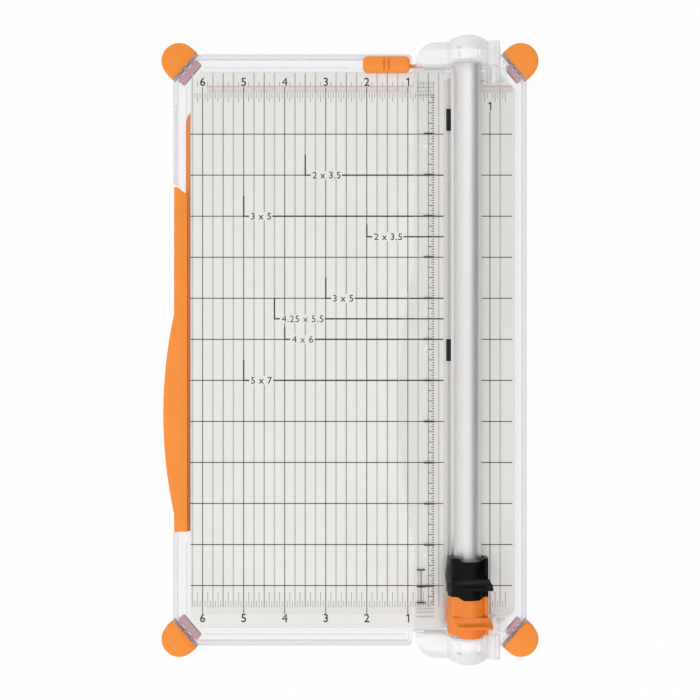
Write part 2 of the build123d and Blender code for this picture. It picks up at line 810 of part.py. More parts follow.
def shoe_part(low_y):
    """Guide shoe of a carriage: a sleeve on the rail, open where the fin passes."""
    shoe_far_y = low_y + (carriage_length + shoe_length) / 2
    fin_top = fin_drop - fin_thickness / 2 - slide_gap
    flat_z = tube_z + shoe_radius - shoe_flat
    with BuildPart() as shoe:
        with BuildSketch(across(shoe_far_y)):
            with Locations((tube_x, tube_z)):
                Circle(shoe_radius)
                Circle(tube_radius + shoe_fit, mode=Mode.SUBTRACT)
            with Locations((tube_x, tube_z - fin_top)):
                Rectangle(shoe_radius, shoe_radius, align=(Align.MAX, Align.MAX), mode=Mode.SUBTRACT)
            with Locations((tube_x, flat_z)):
                Rectangle(2 * shoe_radius, shoe_wall, align=(Align.CENTER, Align.MIN), mode=Mode.SUBTRACT)
        extrude(amount=shoe_length)
    return shoe.part


def carriage_section():
    """Draw a carriage shell across the rail, about the rail's axis: crown, left cheek and right ear."""
    with Locations((0, press_room)):
        Circle(crown_radius)
    Rectangle(2 * crown_radius, press_room, align=(Align.CENTER, Align.MIN))
    with Locations((0, -skirt_drop)):
        Rectangle(2 * crown_radius, skirt_drop, align=(Align.CENTER, Align.MIN))
        Rectangle(3 * crown_radius, crown_radius, align=(Align.CENTER, Align.MAX), mode=Mode.SUBTRACT)
    Polygon(
        (-cheek_reach, -cheek_drop),
        (-cheek_reach, facet_low),
        (facet_inset - cheek_reach, facet_high),
        (cheek_width + facet_inset - cheek_reach, facet_high),
        (cheek_width - cheek_reach, -skirt_drop),
        (cheek_width - cheek_reach, -cheek_drop),
        align=None,
    )
    with Locations((crown_radius, -skirt_drop)):
        Rectangle(ear_width, skirt_drop + ear_high, align=(Align.MAX, Align.MIN))


def carriage_outline(half):
    """A carriage from above: the cheek is widest at the crease, and the crown's bowed ends nest in one another."""
    bow_left = cheek_width + facet_inset - cheek_reach
    bow_right = crown_radius - ear_width
    near = carriage_bow - half
    with BuildSketch() as outline:
        Polygon(
            (bow_left, half),
            (bow_left + bow_slope, half - carriage_bow),
            (bow_right - bow_slope, half - carriage_bow),
            (bow_right, half),
            (crown_radius, half),
            (crown_radius, near),
            (bow_right, near),
            (bow_right - bow_slope, -half),
            (bow_left + bow_slope, -half),
            (bow_left, near),
            (cheek_taper - cheek_reach, near),
            (-cheek_reach, crease_from_mid),
            (cheek_taper - cheek_reach, half),
            align=None,
        )
        bow_corners = outline.vertices().filter_by_position(Axis.X, bow_left, bow_right, (False, False))
        fillet(bow_corners, bow_round)
    return outline.sketch


def carriage_part(low_y):
    """Carriage shell: a saddle over the rail with a finger ledge, a bevelled cheek and a blade pocket."""
    mid_y = low_y + carriage_length / 2
    half = carriage_length / 2
    section = Plane(origin=(tube_x, low_y + carriage_length, tube_z), x_dir=(1, 0, 0), z_dir=(0, -1, 0))
    side = Plane(origin=(tube_x, mid_y, tube_z), x_dir=(0, 1, 0), z_dir=(1, 0, 0))
    above = Plane(origin=(tube_x, mid_y, tube_z))
    ledge_reach = crown_radius + ledge_right_flare
    with BuildPart() as shell:
        with BuildSketch(section):
            carriage_section()
        extrude(amount=carriage_length)
        with BuildSketch(above.offset(-cheek_drop - overrun)):
            add(carriage_outline(half))
        extrude(amount=shell_top + cheek_drop + 2 * overrun, mode=Mode.INTERSECT)
        ledge_top = shell_top + ledge_rise
        with BuildSketch(side.offset(-ledge_left)):
            with BuildLine():
                SagittaArc((crease_from_mid, shell_top), (ledge_lip - ledge_front_reach, ledge_top), ledge_scoop)
                Polyline(
                    (ledge_lip - ledge_front_reach, ledge_top),
                    (-ledge_front_reach, ledge_top),
                    (-ledge_front_reach - ledge_lean, shell_top - ledge_root),
                    (crease_from_mid, shell_top - ledge_root),
                    (crease_from_mid, shell_top),
                )
            make_face()
        ledge = extrude(amount=ledge_left + ledge_reach, mode=Mode.PRIVATE)
        with BuildSketch(above.offset(0), mode=Mode.PRIVATE) as ledge_plan:
            Polygon(
                (-ledge_left, crease_from_mid),
                (ledge_left_taper - ledge_left, -ledge_front_reach - ledge_lean),
                (ledge_reach, -ledge_front_reach - ledge_lean),
                (ledge_reach, crease_from_mid - ledge_back),
                (crown_radius, crease_from_mid),
                align=None,
            )
        add(ledge & extrude(ledge_plan.sketch, amount=ledge_top, mode=Mode.PRIVATE))
        # Room for the shoe, with the height that the shell is pressed down by
        with BuildSketch(section):
            Circle(cavity_radius)
            with Locations((0, press_room)):
                Circle(cavity_radius)
            Rectangle(2 * cavity_radius, press_room, align=(Align.CENTER, Align.MIN))
        extrude(amount=carriage_length, mode=Mode.SUBTRACT)
        # Pocket of the blade cartridge, open below and towards the shoe
        with BuildSketch(above.offset(-cheek_drop)):
            with Locations((-tube_from_cut - cartridge_width / 2 - seat_gap / 2, 0)):
                Rectangle(
                    tube_from_cut - cavity_radius + cartridge_width + seat_gap,
                    cartridge_length + seat_gap,
                    align=(Align.MIN, Align.CENTER),
                )
        extrude(amount=cheek_drop + cartridge_rise, mode=Mode.SUBTRACT)
        ledge_edges = shell.edges().filter_by(Axis.X).group_by(Axis.Z)[-1]
        fillet(ledge_edges, ledge_fillet)
    return shell.part


def cartridge_part(low_y, slot_thickness):
    """Holder of a blade or scoring tip, with a slot of slot_thickness and bevelled lower corners."""
    mid_y = low_y + carriage_length / 2
    side = Plane(origin=(cut_line_x, mid_y, tube_z), x_dir=(0, 1, 0), z_dir=(1, 0, 0))
    with BuildPart() as cartridge:
        with BuildSketch(side.offset(-cartridge_width / 2)):
            Polygon(
                (-cartridge_length / 2, cartridge_rise),
                (-cartridge_length / 2, cartridge_bevel + cartridge_bottom),
                (cartridge_bevel - cartridge_length / 2, cartridge_bottom),
                (cartridge_length / 2 - cartridge_bevel, cartridge_bottom),
                (cartridge_length / 2, cartridge_bevel + cartridge_bottom),
                (cartridge_length / 2, cartridge_rise),
                align=None,
            )
        extrude(amount=cartridge_width)
        with BuildSketch(side.offset(-slot_thickness / 2)):
            with Locations((0, cartridge_bottom)):
                Rectangle(blade_length, -blade_root - cartridge_bottom, align=(Align.CENTER, Align.MIN))
        extrude(amount=slot_thickness, mode=Mode.SUBTRACT)
    return cartridge.part


def blade_part(low_y):
    """Two-way blade: a plate whose lower edge slopes up to both ends of a short cutting tip."""
    mid_y = low_y + carriage_length / 2
    side = Plane(origin=(cut_line_x, mid_y, tube_z), x_dir=(0, 1, 0), z_dir=(1, 0, 0))
    with BuildPart() as blade:
        with BuildSketch(side.offset(-blade_thickness / 2)):
            Polygon(
                (-blade_length / 2, -blade_root),
                (-blade_length / 2, blade_edge_rise - blade_drop),
                (-blade_edge_length / 2, -blade_drop),
                (blade_edge_length / 2, -blade_drop),
                (blade_length / 2, blade_edge_rise - blade_drop),
                (blade_length / 2, -blade_root),
                align=None,
            )
        extrude(amount=blade_thickness)
    return blade.part


def scoring_tip_part(low_y):
    """Blunt scoring tip: the blade's plate with a round nose instead of an edge."""
    mid_y = low_y + carriage_length / 2
    side = Plane(origin=(cut_line_x, mid_y, tube_z), x_dir=(0, 1, 0), z_dir=(1, 0, 0))
    nose_z = scoring_radius - blade_drop
    with BuildPart() as tip:
        with BuildSketch(side.offset(-scoring_thickness / 2)):
            Polygon(
                (-blade_length / 2, -blade_root),
                (-blade_length / 2, blade_edge_rise - blade_drop),
                (-scoring_radius, nose_z),
                (scoring_radius, nose_z),
                (blade_length / 2, blade_edge_rise - blade_drop),
                (blade_length / 2, -blade_root),
                align=None,
            )
            with Locations((0, nose_z)):
                Circle(scoring_radius)
        extrude(amount=scoring_thickness)
    return tip.part


def press_spring_part(low_y):
    """Bowed leaf spring between the shoe's flat and the crown of the shell."""
    mid_y = low_y + carriage_length / 2
    seat_z = shoe_radius - shoe_flat
    crown_z = sqrt(cavity_radius**2 - (spring_width / 2) ** 2) + press_room - seat_gap
    upper_z = seat_z + spring_thickness
    half = spring_length / 2
    side = Plane(origin=(tube_x, mid_y, tube_z), x_dir=(0, 1, 0), z_dir=(1, 0, 0))
    with BuildPart() as spring:
        with BuildSketch(side.offset(-spring_width / 2)):
            with BuildLine():
                ThreePointArc((-half, seat_z), (0, crown_z - spring_thickness), (half, seat_z))
                Line((half, seat_z), (half, upper_z))
                ThreePointArc((half, upper_z), (0, crown_z), (-half, upper_z))
                Line((-half, upper_z), (-half, seat_z))
            make_face()
        extrude(amount=spring_width)
    return spring.part


def lock_slider_part():
    """Rounded thumb slider, with the stem and shuttle that run in the rim."""
    cap_x = lock_left + lock_length / 2
    with BuildPart() as slider:
        with BuildSketch(Plane.YZ.offset(lock_left)) as profile:
            with Locations((lock_y, lock_bottom)):
                Rectangle(lock_width, lock_height, align=(Align.CENTER, Align.MIN))
            fillet(profile.vertices().sort_by(Axis.Z)[-2:], lock_fillet)
        extrude(amount=lock_length)
        with BuildSketch(Plane.XY.offset(lock_bottom)):
            with Locations((cap_x, lock_y)):
                RectangleRounded(lock_length, lock_width, lock_corner_radius)
        extrude(amount=lock_height, mode=Mode.INTERSECT)
        with BuildSketch(Plane.XY.offset(lock_bottom + lock_height - lock_rib_depth)):
            with Locations((cap_x, lock_y)):
                with GridLocations(2 * lock_rib_width, 0, 2, 1):
                    Rectangle(lock_rib_width, lock_width - 2 * lock_fillet)
        extrude(amount=lock_rib_depth + overrun, mode=Mode.SUBTRACT)
        with BuildSketch(Plane.XY.offset(lock_shuttle_top)):
            with Locations((lock_stem_x, lock_y)):
                Rectangle(lock_stem_length, lock_stem_width, align=(Align.MIN, Align.CENTER))
        extrude(amount=lock_bottom - lock_shuttle_top)
        shuttle_x = lock_stem_x + lock_stem_length / 2
        with BuildSketch(Plane.XY.offset(lock_shuttle_top - lock_shuttle_height)):
            with Locations((shuttle_x, lock_y)):
                Rectangle(lock_shuttle_length, lock_shuttle_width)
        extrude(amount=lock_shuttle_height)
        with BuildSketch(Plane.YZ.offset(lock_pin_tip - lock_pin_length)):
            with Locations((lock_y, lock_pin_z)):
                Circle(lock_pin_diameter / 2)
        extrude(amount=lock_pin_length, mode=Mode.SUBTRACT)
    return slider.part


def lock_pin_part():
    with BuildPart() as pin:
        with BuildSketch(Plane.YZ.offset(lock_pin_tip - lock_pin_length)):
            with Locations((lock_y, lock_pin_z)):
                Circle(lock_pin_diameter / 2)
        extrude(amount=lock_pin_length)
    return pin.part


os.makedirs("parts", exist_ok=True)

# Base
save(base_tray_part(), "base_tray")
save(bed_panel_part(), "bed_panel")
save(cutting_strip_part(), "cutting_strip")
save(strip_clips_part(), "strip_clips")
for foot_name, (side_x, side_y) in corners.items():
    save(corner_foot_part(side_x, side_y), foot_name)
fences = {
    "fence": (bed_left + fence_left_inset, ruler_left - fence_right_gap),
    "fence_stub": (tube_x + tube_radius + fence_stub_gap, bed_right - fence_stub_end),
}
for fence_name, (left, right) in fences.items():
    far_fence = fence_part(left, right)
    save(far_fence, f"upper_{fence_name}")
    save(mirrored_part(far_fence), f"lower_{fence_name}")
far_bracket = hinge_bracket_part()
save(far_bracket, "upper_hinge_bracket")
save(mirrored_part(far_bracket), "lower_hinge_bracket")
far_pin = hinge_pin_part()
save(far_pin, "upper_hinge_pin")
save(mirrored_part(far_pin), "lower_hinge_pin")
bracket_places = [(bracket_screw_x, bracket_screw_y), (bracket_screw_x, -bracket_screw_y)]
save(small_screws_part(bracket_places, deck_bottom, frame_top - deck_bottom + screw_bite), "bracket_screws")
save(pivot_washer_part(), "pivot_washer")
save(pivot_screw_part(), "pivot_screw")

# Lifting rail
save(rail_tube_part(), "rail_tube")
far_head = rail_head_part()
save(far_head, "upper_rail_head")
save(mirrored_part(far_head), "lower_rail_head")
save(ruler_strip_part(), "ruler_strip")

# Cutter and scorer
for carriage_name, low_y in (("cutter", cutter_low_y), ("scorer", scorer_low_y)):
    save(shoe_part(low_y), f"{carriage_name}_shoe")
    save(carriage_part(low_y), f"{carriage_name}_carriage")
    save(press_spring_part(low_y), f"{carriage_name}_spring")
save(cartridge_part(cutter_low_y, blade_thickness), "cutter_cartridge")
save(blade_part(cutter_low_y), "cutter_blade")
save(cartridge_part(scorer_low_y, scoring_thickness), "scorer_cartridge")
save(scoring_tip_part(scorer_low_y), "scoring_tip")

# Swing-out arm and lock
save(swing_arm_part(), "swing_arm")
save(lock_slider_part(), "lock_slider")
save(lock_pin_part(), "lock_pin")
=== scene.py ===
"""Looks of the paper trimmer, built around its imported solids: materials, printed scales, light and camera.

Lengths are in metres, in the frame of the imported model: X across the bed, Y along the rail, Z up.
"""
import json
from math import pi
import bmesh
import bpy
from mathutils import Matrix, Vector


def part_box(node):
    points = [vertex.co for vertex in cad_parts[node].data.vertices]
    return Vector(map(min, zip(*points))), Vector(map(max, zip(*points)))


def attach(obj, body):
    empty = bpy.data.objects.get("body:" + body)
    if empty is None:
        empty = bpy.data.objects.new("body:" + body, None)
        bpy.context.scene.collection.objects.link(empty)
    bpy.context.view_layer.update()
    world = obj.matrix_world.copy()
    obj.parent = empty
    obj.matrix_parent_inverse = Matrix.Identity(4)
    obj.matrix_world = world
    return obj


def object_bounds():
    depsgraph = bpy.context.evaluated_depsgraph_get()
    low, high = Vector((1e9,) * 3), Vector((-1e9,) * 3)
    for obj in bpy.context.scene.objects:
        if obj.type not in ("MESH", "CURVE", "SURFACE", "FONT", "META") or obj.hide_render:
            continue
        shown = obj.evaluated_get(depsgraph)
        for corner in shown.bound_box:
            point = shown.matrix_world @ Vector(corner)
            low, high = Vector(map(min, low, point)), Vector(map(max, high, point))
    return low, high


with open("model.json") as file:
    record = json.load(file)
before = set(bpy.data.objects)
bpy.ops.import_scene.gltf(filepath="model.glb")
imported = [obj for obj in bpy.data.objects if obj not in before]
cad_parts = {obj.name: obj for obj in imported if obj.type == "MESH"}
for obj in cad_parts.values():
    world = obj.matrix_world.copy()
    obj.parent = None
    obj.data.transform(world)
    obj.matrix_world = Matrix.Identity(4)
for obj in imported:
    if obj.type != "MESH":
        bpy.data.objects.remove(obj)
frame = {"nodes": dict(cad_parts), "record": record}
cad_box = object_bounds()
nodes = frame["nodes"]

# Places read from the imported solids
bed_low, bed_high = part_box("bed_panel")
tray_low, tray_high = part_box("base_tray")
strip_low, strip_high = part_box("cutting_strip")
fence_low, fence_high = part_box("upper_fence")
stub_low, stub_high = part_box("upper_fence_stub")
ruler_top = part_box("ruler_strip")[1].z
tube_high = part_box("rail_tube")[1]
lock_low, lock_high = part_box("lock_slider")
washer_low, washer_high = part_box("pivot_washer")
bed_top = bed_high.z
cut_x = (strip_low.x + strip_high.x) / 2
zero_y = fence_low.y
pivot_x = (washer_low.x + washer_high.x) / 2
pivot_y = (washer_low.y + washer_high.y) / 2

# Tray: its corner cuts, where the soft feet begin, its outer wall, and how softly the wall and the greyer
# right rim (partly painted shade) begin
corner_cut_x = 0.0135
corner_cut_y = 0.0156
tray_wall = 0.0022
wall_blur = 0.0003
shade_edge_blur = 0.0010

# Swing-out arm: its flat bar, which carries a scale
arm_bar_top = 0.0082
arm_bar_half = 0.0110

# Rounding of moulded edges, and the hair of air between clear pieces and what they touch
edge_round = 0.0002
handled_round = {
    "cutter_carriage": 0.0009,
    "scorer_carriage": 0.0009,
    "lock_slider": 0.0012,
    "swing_arm": 0.0006,
}
edge_segments = 3
edge_angle = 0.6
weld_reach = 0.000002
air_gap = 0.00003

# Camera and picture: straight down, with the photograph's width of view at the bed
camera_height = 1.0
view_width = 0.4332
sensor_width = 36.0

# Printed ink: its depth in the surface, its height, the step between layers that cross, and the layers
inch = 0.0254
quarter_inch = inch / 4
sixteenth_inch = inch / 16
ink_sink = 0.00005
ink_rise = 0.00002
ink_step = 0.000006
tick_layer = 4
row_layer = 5
mark_layer = 6
numeral_layer = 7
inch_line = 0.00049
row_line = 0.00054
half_line = 0.00074
quarter_line = 0.00088
tick_line = 0.00040
mark_line = 0.00085

# Lettering, and the outline of a figure 1 with its flag, as shares of its height
figure_one_shares = (
    (0.16, -0.5), (0.16, 0.5), (0.05, 0.5), (-0.20, 0.33), (-0.20, 0.21), (0.01, 0.27), (0.01, -0.5),
)
text_resolution = 4
text_half_thickness = 0.5
last_numeral = 6
numeral_height = 0.0052
label_height = 0.0042
numeral_bold = 0.012
label_bold = 0.008
label_spacing = 1.08
label_start = 0.0046
label_dash = 0.0034
label_gap = 0.0008
label_margin = 0.0006
right_numeral_drop = 0.0081
right_line_drop = 0.0112

# Lines right of the cut, counted leftwards in quarters and sixteenths, and the first tick left of it
right_quarters = (-5, -4)
right_inch = -4
right_sixteenths = range(-22, -13)
first_sixteenth = 6

# Bands of the bed scales, from the fence's inner face; ticks are a sixteenth's and an eighth's, far and near
far_quarter = 0.0124
far_inch = 0.0036
far_eighth = 0.0070
near_inch = 0.0046
tick_lengths = {1: (0.0032, 0.0055), -1: (0.0037, 0.0093)}
numeral_offset = 0.0069

# Grid lines keep clear of the cutting strip and end before the right rim
strip_clear = 0.0003
right_clear = 0.0010
stub_clear = 0.0005

# Size marks printed on the bed: label, inches left of the cut, inches below the fence, upright in inches
size_marks = [
    ("2 x 3.5", 3.5, 2, 0.5),
    ("3 x 5", 5, 3, 0.5),
    ("2 x 3.5", 2, 3.5, 0.3),
    ("3 x 5", 3, 5, 0.5),
    ("4.25 x 5.5", 4.25, 5.5, 0.5),
    ("4 x 6", 4, 6, 0.3),
    ("5 x 7", 5, 7, 0.5),
]

# Ruler scale, as distances from the cut line, and its guide lines beyond the fences
ruler_far = 0.0127
ruler_near = 0.0092
ruler_eighth = 0.0111
ruler_sixteenth = 0.0104
ruler_inch_far = 0.0155
guide_far = 0.0202
guide_offsets = (-0.0018, 0.0008, 0.0030, 0.0058)

# Load mark on the ruler: a barred upright near its lower end
load_mark_x = 0.0439
load_mark_bars = (-0.1358, -0.1462, -0.1561)
load_mark_width = 0.0052

# Nubs on the ruler, in milky plastic whose white is partly a painted highlight for their glints
nub_x = 0.0468
nub_places = (0.1256, 0.0012, -0.1268)
nub_radius = 0.0013
nub_height = 0.0004
nub_segments = 24
nub_rings = 12

# Snap tabs in the windows of the rail heads, about the axis of the rail's tube
tube_radius = 0.0085
tab_offset = 0.0056
tab_width = 0.0014
tab_root = 0.0012
tab_length = 0.0080
tab_base = 0.0085
tab_thickness = 0.0010

# Crown of the lock slider: its corners and ends, its rib and the grooves beside it, and its steps
crown_corner = 0.0032
crown_end = 0.0013
crown_drop = 0.0012
crown_rise = 0.0022
rib_half = 0.0008
groove_half = 0.0020
crown_steps = 16

# Fine bead around the clear rim: its distances from the tray's sides, its section, and the ends of its runs
bead_inset = 0.0084
bead_near_inset = 0.0072
bead_width = 0.0009
bead_rise = 0.00015
bead_corner = 0.0190
bead_near_end = 0.0345
bead_arm_low = -0.1185
bead_arm_high = 0.1045
lock_travel = 0.0080
lock_clear = 0.0010

# Painted shade of lines pressed along the far fence: the broken one and the whole one, from the fence's inner
# face
stitch_offset = 0.0011
fence_line_offset = 0.0036
stitch_pitch = 0.0010
stitch_length = 0.0006
stitch_width = 0.00035

# Scale on the swing-out arm, in inches from the cut line
arm_first_inch = 7
arm_last_inch = 15
arm_tick = 0.0045
arm_half_tick = 0.0030
arm_numeral_offset = 0.0085

# Detail of the materials: noise contrast, size of clouds in grains, flow of clear plastic, and drawn metal
noise_range = (0.3, 0.7)
cloud_grains = 30
flow_size = 0.02
flow_stretch = (1, 0.3, 1)
flow_tones = (0.97, 1.02)
flow_roughness = (0.07, 0.13)
edge_blend = 0.5
drawn_detail = 4
drawn_tones = (0.96, 1.03)
drawn_uneven = 0.05
drawn_depth = 0.000004

# Floor
floor_size = 6
floor_colour = (0.95, 0.95, 0.95, 1)
floor_roughness = 0.9
floor_shown_share = 0.9
white = (1, 1, 1, 1)

# Light on surfaces, from below to above and from the left side to the middle
light_above = (0.22, 0.50)
light_left = (0.80, 0.0)

# Room that reflections see: strengths, and the directions between which they change
room_left = (0.90, 1.08)
room_right = (1.08, 0.0)
room_right_from = (0.21, 0.98)
room_front = (0.6, 0.0)
room_front_from = (-0.9, -0.55)
room_rear = (0.0, 2.4)
room_rear_from = (0.6, 0.9)
room_rear_end = (0.90, 0.98)
room_rear_half = (0.12, 0.35)

# Overhead lamp: metres and watts
lamp_size = 1.4
lamp_power = 17.5
lamp_place = (0.20, -0.45, 1.8)


def make_material(name):
    """A new node material and its shader."""
    made = bpy.data.materials.new(name)
    made.use_nodes = True
    return made, made.node_tree.nodes["Principled BSDF"]


def add_node(made, kind, inputs=None, **settings):
    """A node of this kind, with its settings and the values of its inputs."""
    added = made.node_tree.nodes.new(kind)
    for key, value in settings.items():
        setattr(added, key, value)
    for key, value in (inputs or {}).items():
        added.inputs[key].default_value = value
    return added


def join(made, source, target):
    """Link a node's output to an input."""
    made.node_tree.links.new(source, target)


def math(made, operation, first, second):
    """The result of a sum on two sockets or numbers."""
    step = add_node(made, "ShaderNodeMath", operation=operation)
    for place, value in enumerate((first, second)):
        if isinstance(value, (int, float)):
            step.inputs[place].default_value = value
        else:
            join(made, value, step.inputs[place])
    return step.outputs["Value"]


def spread(made, value, low, high, start=0.0, end=1.0):
    """The value's range from start to end laid onto the range from low to high."""
    laid = add_node(made, "ShaderNodeMapRange",
                    {"From Min": start, "From Max": end, "To Min": low, "To Max": high})
    join(made, value, laid.inputs["Value"])
    return laid.outputs["Result"]


def noise(made, size, stretch=(1, 1, 1), detail=3):
    """Noise in the model's own space, with features about size metres across, from 0 to 1."""
    place = add_node(made, "ShaderNodeTexCoord")
    shape = add_node(made, "ShaderNodeMapping", {"Scale": stretch})
    cloud = add_node(made, "ShaderNodeTexNoise", {"Scale": 1 / size, "Detail": detail})
    join(made, place.outputs["Object"], shape.inputs["Vector"])
    join(made, shape.outputs["Vector"], cloud.inputs["Vector"])
    return spread(made, cloud.outputs["Fac"], 0, 1, *noise_range)


def tint(made, fac, low, high):
    """A colour between low and high."""
    blend = add_node(made, "ShaderNodeMix", data_type="RGBA")
    blend.inputs["A"].default_value = (*low, 1)
    blend.inputs["B"].default_value = (*high, 1)
    join(made, fac, blend.inputs["Factor"])
    return blend.outputs["Result"]


def relief(made, shader, fac, depth):
    """Bump of this depth in metres."""
    bump = add_node(made, "ShaderNodeBump", {"Strength": 1.0, "Distance": depth})
    join(made, fac, bump.inputs["Height"])
    join(made, bump.outputs["Normal"], shader.inputs["Normal"])


def shade(colour, share):
    """The colour made darker or paler by a share."""
    return tuple(channel * share for channel in colour)


def from_outside(made):
    """Distance inwards from the sides of the tray's box, in metres, as a socket."""
    place = add_node(made, "ShaderNodeTexCoord")
    size = add_node(made, "ShaderNodeVectorMath", operation="ABSOLUTE")
    parts = add_node(made, "ShaderNodeSeparateXYZ")
    join(made, place.outputs["Object"], size.inputs[0])
    join(made, size.outputs["Vector"], parts.inputs["Vector"])
    from_side = math(made, "SUBTRACT", tray_high.x, parts.outputs["X"])
    from_end = math(made, "SUBTRACT", tray_high.y, parts.outputs["Y"])
    return math(made, "MINIMUM", from_side, from_end)


def moulded(name, colour, roughness, grain, depth, tone=0.04, uneven=0.06, specular=0.5):
    """Moulded plastic or rubber: cloudy tone, grain in the surface and an uneven sheen."""
    made, shader = make_material(name)
    clouds = noise(made, cloud_grains * grain)
    fine = noise(made, grain)
    mottled = tint(made, clouds, shade(colour, 1 - tone), shade(colour, 1 + tone))
    join(made, mottled, shader.inputs["Base Color"])
    join(made, spread(made, fine, roughness - uneven, roughness + uneven), shader.inputs["Roughness"])
    relief(made, shader, fine, depth)
    shader.inputs["Specular IOR Level"].default_value = specular
    return made


def see_through(name, passing, body, face_share, edge_share, walled=0.0, rim_shade_right=0.0):
    """Clear plastic: seen through with a tint, and walls seen edge-on gather the body's colour.

    Light on its way to other surfaces passes freely. With walled, the tray's upright outer wall, deep as
    it is, gathers that much more, and with rim_shade_right so does the rim to the right of the bed: partly
    for its depth of plastic, partly as painted shade beside the rail.
    """
    made, shader = make_material(name)
    flow = noise(made, flow_size, flow_stretch)
    streaked = tint(made, flow, *(shade(body, share) for share in flow_tones))
    join(made, streaked, shader.inputs["Base Color"])
    join(made, spread(made, flow, *flow_roughness), shader.inputs["Roughness"])
    path = add_node(made, "ShaderNodeLightPath")
    lighting = math(made, "MAXIMUM", path.outputs["Is Shadow Ray"], path.outputs["Is Diffuse Ray"])
    clear = add_node(made, "ShaderNodeBsdfTransparent")
    join(made, tint(made, lighting, passing, (1, 1, 1)), clear.inputs["Color"])
    angle = add_node(made, "ShaderNodeLayerWeight", {"Blend": edge_blend})
    share = spread(made, angle.outputs["Facing"], face_share, edge_share)
    if walled:
        wall = spread(made, from_outside(made), walled, 0, tray_wall - wall_blur, tray_wall + wall_blur)
        share = math(made, "ADD", share, wall)
    # Rim right of the bed made greyer: partly its depth of plastic, partly painted shade beside the rail
    if rim_shade_right:
        place = add_node(made, "ShaderNodeTexCoord")
        parts = add_node(made, "ShaderNodeSeparateXYZ")
        join(made, place.outputs["Object"], parts.inputs["Vector"])
        rim_start, rim_full = bed_high.x - shade_edge_blur, bed_high.x + shade_edge_blur
        depth_and_shade = spread(made, parts.outputs["X"], 0, rim_shade_right, rim_start, rim_full)
        share = math(made, "ADD", share, depth_and_shade)
    both = add_node(made, "ShaderNodeMixShader")
    join(made, math(made, "MULTIPLY", share, math(made, "SUBTRACT", 1.0, lighting)), both.inputs["Fac"])
    join(made, clear.outputs["BSDF"], both.inputs[1])
    join(made, shader.outputs["BSDF"], both.inputs[2])
    join(made, both.outputs["Shader"], made.node_tree.nodes["Material Output"].inputs["Surface"])
    return made


def metal(name, colour, roughness, stretch, grain):
    """Metal with fine drawn lines along the direction that stretch makes longest."""
    made, shader = make_material(name)
    shader.inputs["Metallic"].default_value = 1
    lines = noise(made, grain, stretch, drawn_detail)
    streaked = tint(made, lines, *(shade(colour, share) for share in drawn_tones))
    join(made, streaked, shader.inputs["Base Color"])
    sheen = spread(made, lines, roughness - drawn_uneven, roughness + drawn_uneven)
    join(made, sheen, shader.inputs["Roughness"])
    relief(made, shader, lines, drawn_depth)
    return made


def foot_rubber(name):
    """Orange rubber outside the cut corner, and the paler anchor seen through the clear wall inside it, in
    painted shade.
    """
    orange = (0.92, 0.290, 0.046)
    # The anchor's colour is painted shade, with the clear wall's lilac tint
    anchor_shade_colour = (0.58, 0.35, 0.37)
    made = moulded(name, orange, roughness=0.55, grain=0.0006, depth=0.00003, tone=0.03, specular=0.2)
    shader = made.node_tree.nodes["Principled BSDF"]
    outer_colour = shader.inputs["Base Color"].links[0].from_socket
    place = add_node(made, "ShaderNodeTexCoord")
    size = add_node(made, "ShaderNodeVectorMath", operation="ABSOLUTE")
    along = add_node(made, "ShaderNodeVectorMath", operation="DOT_PRODUCT")
    along.inputs[1].default_value = (1 / corner_cut_x, 1 / corner_cut_y, 0)
    edge_sum = tray_high.x / corner_cut_x + tray_high.y / corner_cut_y - 1
    join(made, place.outputs["Object"], size.inputs[0])
    join(made, size.outputs["Vector"], along.inputs[0])
    outside = math(made, "GREATER_THAN", along.outputs["Value"], edge_sum)
    pick = add_node(made, "ShaderNodeMix", data_type="RGBA")
    pick.inputs["A"].default_value = (*anchor_shade_colour, 1)
    join(made, outside, pick.inputs["Factor"])
    join(made, outer_colour, pick.inputs["B"])
    join(made, pick.outputs["Result"], shader.inputs["Base Color"])
    return made


def ink(name, colour, tone=0.04):
    """Screen-printed ink, with a slightly uneven sheen; also used for painted shade."""
    return moulded(name, colour, roughness=0.5, grain=0.0005, depth=0.000004, tone=tone, uneven=0.08,
                   specular=0.2)


lilac = (0.66, 0.64, 0.70)
milk = (0.90, 0.89, 0.90)
rose = (0.72, 0.60, 0.60)
materials = {
    # Clear tray; its rim right of the bed is greyer, partly as painted shade
    "clear_plastic": see_through("clear_plastic", (0.965, 0.962, 0.968), lilac, face_share=0.03,
                                 edge_share=0.35, walled=0.10, rim_shade_right=0.06),
    "bed_grey": moulded("bed_grey", (0.785, 0.777, 0.752), roughness=0.5, grain=0.0007, depth=0.000006,
                        tone=0.012, specular=0.2),
    "strip_plastic": moulded("strip_plastic", (0.70, 0.66, 0.64), roughness=0.6, grain=0.0008, depth=0.00001,
                             specular=0.3),
    "clip_black": moulded("clip_black", (0.030, 0.029, 0.034), roughness=0.45, grain=0.0006, depth=0.00001,
                          tone=0.1, specular=0.15),
    "foot_rubber": foot_rubber("foot_rubber"),
    "fence_plastic": see_through("fence_plastic", (0.974, 0.940, 0.946), rose, face_share=0.02,
                                 edge_share=0.30),
    "steel": metal("steel", (0.62, 0.62, 0.64), roughness=0.3, stretch=(1, 1, 0.2), grain=0.0004),
    "rail_aluminium": metal("rail_aluminium", (0.81, 0.81, 0.805), roughness=0.50, stretch=(1, 0.02, 1),
                            grain=0.0003),
    "guide_plastic": moulded("guide_plastic", (0.80, 0.80, 0.79), roughness=0.5, grain=0.0008, depth=0.00001),
    "orange_plastic": moulded("orange_plastic", (0.91, 0.280, 0.044), roughness=0.36, grain=0.0005,
                              depth=0.00001, tone=0.03, specular=0.25),
    "black_plastic": moulded("black_plastic", (0.002, 0.002, 0.0021), roughness=0.26, grain=0.0005,
                             depth=0.000006, tone=0.1, specular=0.12),
}
